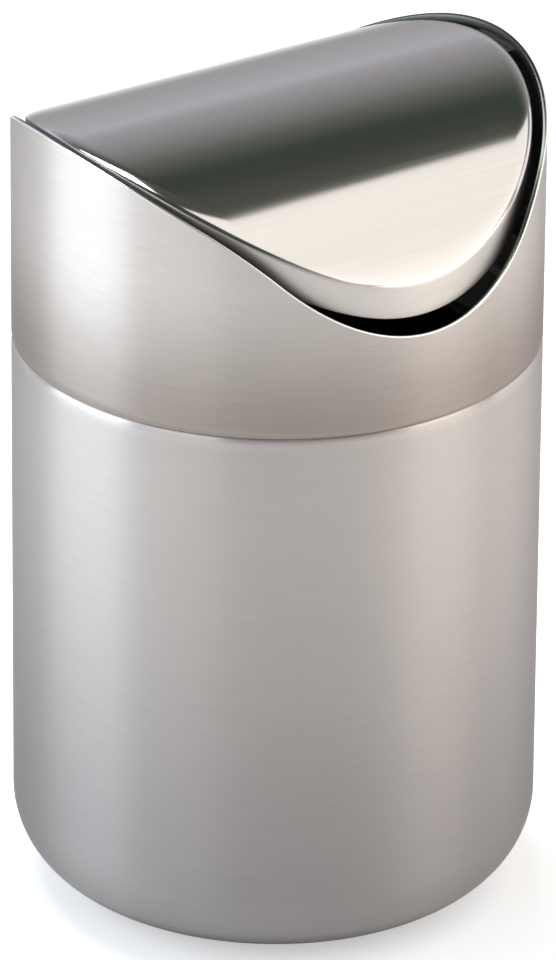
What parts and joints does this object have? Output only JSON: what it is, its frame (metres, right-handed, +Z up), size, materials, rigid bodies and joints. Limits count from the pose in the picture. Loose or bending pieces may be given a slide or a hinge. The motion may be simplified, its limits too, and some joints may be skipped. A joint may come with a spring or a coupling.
{
  "type": "push-top countertop bin",
  "caption": "Round stainless countertop bin with a saddle-rimmed lift-off lid, a swinging arched push flap and a lift-out inner bucket.",
  "frame": {"origin": "on the table, under the middle of the can", "axes": "+Z up along the can's axis; the flap's axle lies along X, and the rim's two peaks point to +X and -X"},
  "size_m": [0.12, 0.12, 0.1944],
  "materials": {
    "can_steel": "stainless sheet, finely brushed around the can",
    "lid_steel": "stainless sheet, brushed around the collar",
    "flap_steel": "stainless sheet, satin, brushed along the ridge",
    "plated_steel": "bright zinc-plated steel",
    "nylon": "natural nylon",
    "silicone": "black silicone",
    "foot_rubber": "black non-slip rubber",
    "bucket_plastic": "dark grey polypropylene, fine matte"
  },
  "bodies": {
    "can": {"body_shell": "can_steel", "foot_ring": "foot_rubber"},
    "bucket": {"inner_bucket": "bucket_plastic"},
    "lid": {"collar_shell": "lid_steel", "collar_sleeve": "lid_steel", "axle_rod": "plated_steel", "axle_bracket_left": "plated_steel", "axle_bracket_right": "plated_steel", "axle_clip_left": "plated_steel", "axle_clip_right": "plated_steel", "axle_washer_left": "nylon", "axle_washer_right": "nylon", "stop_buffer_left": "silicone", "stop_buffer_right": "silicone"},
    "flap": {"flap_shell": "flap_steel", "flap_lug_left": "plated_steel", "flap_lug_right": "plated_steel", "axle_bush_left": "nylon", "axle_bush_right": "nylon"}
  },
  "joints": [
    {"name": "lid_lift", "type": "slide", "parent": "can", "child": "lid", "axis": [0, 0, 1], "range_m": [0, 0.28]},
    {"name": "bucket_lift", "type": "slide", "parent": "can", "child": "bucket", "axis": [0, 0, 1], "range_m": [0, 0.14]},
    {"name": "flap_swing", "type": "hinge", "parent": "lid", "child": "flap", "pos_m": [0, 0, 0.18785], "axis": [1, 0, 0], "range_deg": [-65, 65]}
  ],
  "couplings": [
    {"joint": "bucket_lift", "follows": "lid_lift", "ratio": 0.5}
  ]
}
